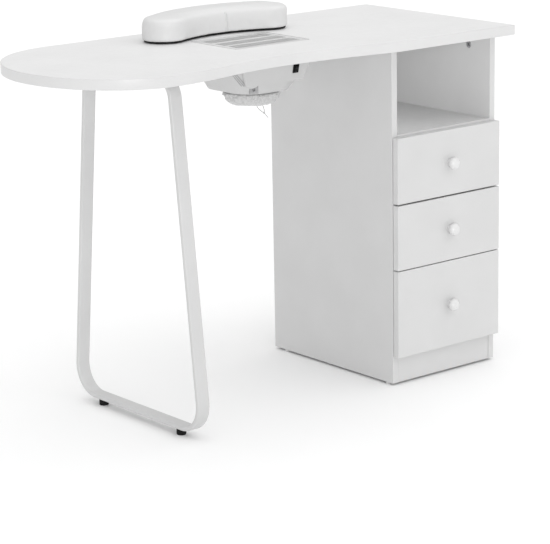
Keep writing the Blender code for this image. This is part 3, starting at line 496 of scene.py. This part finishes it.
def band_outline(half_width, arc_steps, cap_steps):
    """Points round the bent band, anticlockwise, with even spacing on each stretch."""
    centre = Vector((REST_CENTRE_X, REST_ARC_CENTRE_Y))
    half = math.degrees(REST_HALF_ANGLE)
    ends = [centre + Vector((math.sin(a), math.cos(a))) * REST_RADIUS
            for a in (-REST_HALF_ANGLE, REST_HALF_ANGLE)]
    outer, inner = REST_RADIUS + half_width, REST_RADIUS - half_width
    cap = (half_width, half_width)
    return [
        *ellipse_arc(centre, (outer, outer), 90 - half, 90 + half, arc_steps),
        *ellipse_arc(ends[0], cap, 90 + half, 270 + half, cap_steps),
        *ellipse_arc(centre, (inner, inner), 90 + half, 90 - half, arc_steps),
        *ellipse_arc(ends[1], cap, 270 - half, 450 - half, cap_steps),
    ]


def inflate(obj, cap, pinned_below):
    """Fills the cover: Cloth with pressure and no gravity, its base held, its travel capped."""
    group = obj.vertex_groups.new(name="held")
    held = [v.index for v in obj.data.vertices if v.co.z < pinned_below]
    group.add(held, 1.0, "REPLACE")
    rest = [v.co.copy() for v in obj.data.vertices]
    cloth = obj.modifiers.new("cloth", "CLOTH")
    cloth.settings.vertex_group_mass = "held"
    cloth.settings.use_pressure = True
    cloth.settings.uniform_pressure_force = PAD_PRESSURE
    cloth.settings.effector_weights.gravity = 0
    cloth.point_cache.frame_start, cloth.point_cache.frame_end = 1, PAD_FRAMES
    for step in range(1, PAD_FRAMES + 1):
        SCENE.frame_set(step)
    graph = bpy.context.evaluated_depsgraph_get()
    swollen = [v.co.copy() for v in obj.evaluated_get(graph).data.vertices]
    obj.modifiers.remove(cloth)
    SCENE.frame_set(1)
    for vertex, before, after in zip(obj.data.vertices, rest, swollen):
        move = after - before
        if move.length > cap:
            move *= cap / move.length
        vertex.co = before + move
    obj.vertex_groups.clear()


def make_cushion():
    """The padded cover: a crowned top, upright walls that round into it, and a flat base."""
    layers = [(0.012, REST_LOW), (0.002, REST_LOW + 0.0004), (PAD_INSET, REST_LOW + 0.004),
              (PAD_INSET, REST_HIGH - 0.014), (PAD_INSET + 0.0012, REST_HIGH - 0.0085),
              (PAD_INSET + 0.0045, REST_HIGH - 0.0045), (PAD_INSET + 0.010, REST_HIGH - 0.0025)]
    rings = []
    for inset, z in layers:
        outline = band_outline(REST_HALF_WIDTH - inset, 70, 44)
        rings.append([(p.x, p.y, z) for p in outline])
    bm = bmesh.new()
    skin_rings(bm, rings, cap_start=True, cap_end=True)
    bmesh.ops.triangulate(bm, faces=[f for f in bm.faces if len(f.verts) > 4])
    obj = add_piece("hand_rest_cushion", mesh_from(bm, "hand_rest_cushion"),
                    "white_leatherette", "hand_rest", ["hand_rest_pad"])
    remesh = obj.modifiers.new("remesh", "REMESH")
    remesh.mode, remesh.voxel_size = "VOXEL", PAD_VOXEL
    apply_modifiers(obj)
    inflate(obj, PAD_CAP, REST_LOW + 0.003)
    smooth = obj.modifiers.new("smooth", "SMOOTH")
    smooth.factor, smooth.iterations = 0.5, 3
    finer = obj.modifiers.new("finer", "SUBSURF")
    finer.levels = finer.render_levels = 1
    apply_modifiers(obj)
    drop_rim(obj)
    obj.data.shade_smooth()
    obj.data.materials.clear()
    obj.data.materials.append(LOOKS["white_leatherette"])
    make_seams(obj)


def band_reach(point):
    """A point's distance from the hand rest's bent middle line."""
    flat = Vector((point.x - REST_CENTRE_X, point.y - REST_ARC_CENTRE_Y))
    angle = math.atan2(flat.x, flat.y)
    if abs(angle) < REST_HALF_ANGLE:
        return abs(flat.length - REST_RADIUS)
    end = math.copysign(REST_HALF_ANGLE, angle)
    return (flat - Vector((math.sin(end), math.cos(end))) * REST_RADIUS).length


def drop_rim(obj):
    """Lets the cover's lower rim hang a little below the base that it is stretched over."""
    for vertex in obj.data.vertices:
        outwards = (band_reach(vertex.co) - REST_HALF_WIDTH + PAD_RIM) / PAD_RIM
        low = 1 - (vertex.co.z - REST_LOW) / PAD_RIM_HEIGHT
        share = max(0.0, min(1.0, outwards)) * max(0.0, min(1.0, low))
        vertex.co.z -= PAD_SAG * share


def apply_modifiers(obj):
    bpy.context.view_layer.update()
    graph = bpy.context.evaluated_depsgraph_get()
    made = bpy.data.meshes.new_from_object(obj.evaluated_get(graph), depsgraph=graph)
    obj.modifiers.clear()
    obj.data = made


def surface_point(tree, start, way):
    """Where a line meets a surface first, and the surface's direction there."""
    place, normal, _, _ = tree.ray_cast(Vector(start), Vector(way))
    return place, normal


def ribbon(name, tree, starts, way, section, look, body):
    """A narrow strip laid along a surface; section is (across, height) points in metres."""
    found = [surface_point(tree, start, way) for start in starts]
    found = [(place, normal) for place, normal in found if place is not None]
    rings = []
    for i, (place, normal) in enumerate(found):
        along = found[min(i + 1, len(found) - 1)][0] - found[max(i - 1, 0)][0]
        across = along.cross(normal).normalized()
        rings.append([place + across * u + normal * v for u, v in section])
    bm = bmesh.new()
    skin_rings(bm, rings, cap_start=True, cap_end=True)
    return add_piece(name, mesh_from(bm, name, 60), look, body)


def make_seams(cushion):
    """The closing seams in the front and back walls: two turned-in lips with a groove between."""
    tree = BVHTree.FromObject(cushion, bpy.context.evaluated_depsgraph_get())
    heights = [REST_LOW + SEAM_RISE + SEAM_STEP * i for i in range(SEAM_POINTS)]
    for side, y, way in (("front", 0.0, (0, 1, 0)), ("back", 0.35, (0, -1, 0))):
        starts = [(REST_CENTRE_X + SEAM_OFFSET, y, z) for z in heights]
        ribbon(f"hand_rest_seam_{side}", tree, starts, way, SEAM_LIP, "white_leatherette",
               "hand_rest")


def make_strips():
    """Three slanted strips, slightly raised, at the collector's left front corner; their dark grey
    paints the shade of the recessed corner.
    """
    tree = BVHTree.FromObject(
        frame["nodes"]["collector_housing"], bpy.context.evaluated_depsgraph_get()
    )
    corner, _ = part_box("collector_housing")
    half = STRIP_HALF_WIDTH
    section = [(-half, -0.0004), (-half, 0.0001), (-half * 0.6, STRIP_RISE),
               (half * 0.6, STRIP_RISE), (half, 0.0001), (half, -0.0004)]
    for number in (1, 2, 3):
        shift = Vector(((number - 2) * STRIP_PITCH, 0, 0))
        starts = [corner + STRIP_TOP.lerp(STRIP_FOOT, step / STRIP_STEPS) + shift
                  - STRIP_WAY * STRIP_REACH for step in range(STRIP_STEPS + 1)]
        # Dark grey: painted shade of the recessed corner, laid over a slight real relief
        ribbon(f"collector_strip_{number}", tree, starts, STRIP_WAY, section, "grey_plastic",
               "table")


# The dust bag

def bag_point(radius, fold, angle, z):
    """A point of the cloth: fine pleats from the elastic, broken up by crumples.

    Each noise is read at an offset of its own, and changes with height at its own rate.
    """
    way = Vector((math.cos(angle), math.sin(angle), 0))
    pleat = math.sin(BAG_PLEATS * angle + 2.2 * noise.noise(way * 2.1 + Vector((0, 0, z * 14))))
    crease = noise.noise(way * 7 + Vector((3, 5, z * 130)))
    crease += 0.7 * noise.noise(way * 15 + Vector((8, 2, z * 320)))
    sag = 0.0011 * noise.noise(way * 4 + Vector((9, 1, z * 60)))
    reach = radius + fold * (0.45 * pleat + 0.95 * crease)
    return Vector((BAG_CENTRE[0] + reach * way.x, BAG_CENTRE[1] + reach * way.y, z + sag))


def make_bag():
    """Thin cloth gathered on an elastic round the spigot, with folds fanning out below it."""
    profile = [  # radius, height and depth of the folds
        (BAG_MOUTH + 0.0016, 0.6488, 0.0014), (BAG_MOUTH + 0.0004, 0.6462, 0.0008),
        (BAG_MOUTH + 0.0012, 0.6440, 0.0024), (BAG_MOUTH + 0.0014, 0.6415, 0.0042),
        (BAG_MOUTH + 0.0006, 0.6385, 0.0044), (BAG_MOUTH - 0.0010, 0.6350, 0.0034),
        (BAG_MOUTH - 0.0030, 0.6310, 0.0026), (BAG_MOUTH - 0.0052, 0.6270, 0.0020),
        (BAG_MOUTH - 0.0076, 0.6235, 0.0016), (BAG_MOUTH - 0.0102, 0.6212, 0.0012),
        (BAG_MOUTH - 0.0150, BAG_FLAT, 0.0010), (0.0220, BAG_FLAT, 0.0006),
        (0.0100, BAG_FLAT, 0.0002),
    ]
    outer = smooth_points(profile, 4)
    angles = [2 * math.pi * i / BAG_STEPS for i in range(BAG_STEPS)]
    rings = [[bag_point(r, fold, a, z) for a in angles] for r, z, fold in outer]
    inner = [
        [p + (Vector((*BAG_CENTRE, p.z + 0.004)) - p).normalized() * BAG_CLOTH for p in ring]
        for ring in reversed(rings)
    ]
    bm = bmesh.new()
    under = skin_rings(bm, rings)
    inside = skin_rings(bm, inner)
    for loop, z in ((under[-1], BAG_FLAT), (inside[0], BAG_FLAT + BAG_CLOTH)):
        centre = bm.verts.new((*BAG_CENTRE, z))
        for i in range(BAG_STEPS):
            bm.faces.new((loop[i], loop[(i + 1) % BAG_STEPS], centre))
    for i in range(BAG_STEPS):
        j = (i + 1) % BAG_STEPS
        bm.faces.new((under[0][i], under[0][j], inside[-1][j], inside[-1][i]))
    add_piece("dust_bag_cloth", mesh_from(bm, "dust_bag_cloth", 80), "white_fabric", "bag",
              ["dust_bag"])


def make_elastic():
    """The elastic round the bag's mouth, with a small pucker for each pleat."""
    rings = []
    for i in range(ELASTIC_STEPS):
        a = 2 * math.pi * i / ELASTIC_STEPS
        out = Vector((math.cos(a), math.sin(a), 0))
        rise = 0.0003 * math.sin(BAG_PLEATS / 2 * a)
        centre = Vector((*BAG_CENTRE, ELASTIC_HEIGHT + rise))
        centre += out * (ELASTIC_RADIUS + 0.0004 * math.sin(BAG_PLEATS * a))
        thick = ELASTIC_HALF_THICKNESS + 0.0002 * math.sin(BAG_PLEATS * a)
        rings.append([centre + (out * math.cos(b) + Vector((0, 0, math.sin(b)))) * thick
                      for b in (2 * math.pi * k / ELASTIC_SIDES for k in range(ELASTIC_SIDES))])
    bm = bmesh.new()
    skin_rings(bm, [*rings, rings[0]])
    bmesh.ops.remove_doubles(bm, verts=bm.verts, dist=1e-7)
    add_piece("bag_elastic_cord", mesh_from(bm, "bag_elastic_cord", 80), "white_thread", "bag",
              ["bag_elastic"])


# The floor and the lights

def make_studio():
    SCENE.view_settings.view_transform = "Standard"
    world = bpy.data.worlds.new("studio")
    world.use_nodes = True
    world.node_tree.nodes["Background"].inputs["Color"].default_value = (1, 1, 1, 1)
    world.node_tree.nodes["Background"].inputs["Strength"].default_value = WORLD_LIGHT
    SCENE.world = world
    bm = bmesh.new()
    bmesh.ops.create_grid(bm, x_segments=1, y_segments=1, size=FLOOR_SIZE)
    mesh = mesh_from(bm, "floor")
    mesh.materials.append(surface("floor", (0.96, 0.96, 0.96), 0.9, 40, 0.0001, variation=0.002))
    floor = bpy.data.objects.new("floor", mesh)
    SCENE.collection.objects.link(floor)
    for name, way, share, spread in SUNS:
        data = bpy.data.lights.new(name, "SUN")
        data.energy, data.angle = share * math.pi, math.radians(spread)
        light = bpy.data.objects.new(name, data)
        light.rotation_euler = Vector(way).to_track_quat("-Z", "Y").to_euler()
        SCENE.collection.objects.link(light)
    data = bpy.data.lights.new("compartment_fill", "AREA")
    data.shape, (data.size, data.size_y), data.energy = "RECTANGLE", FILL_SIZE, FILL_POWER
    fill = bpy.data.objects.new("compartment_fill", data)
    fill.location = FILL_PLACE
    fill.rotation_euler = Vector((1, 0, 0)).to_track_quat("-Z", "Y").to_euler()
    fill.visible_camera = False
    SCENE.collection.objects.link(fill)


make_camera()
make_drawstring()
dress_frame()
make_edge_band()
make_leg()
make_knobs()
make_cushion()
make_bag()
make_elastic()
make_strips()
make_studio()
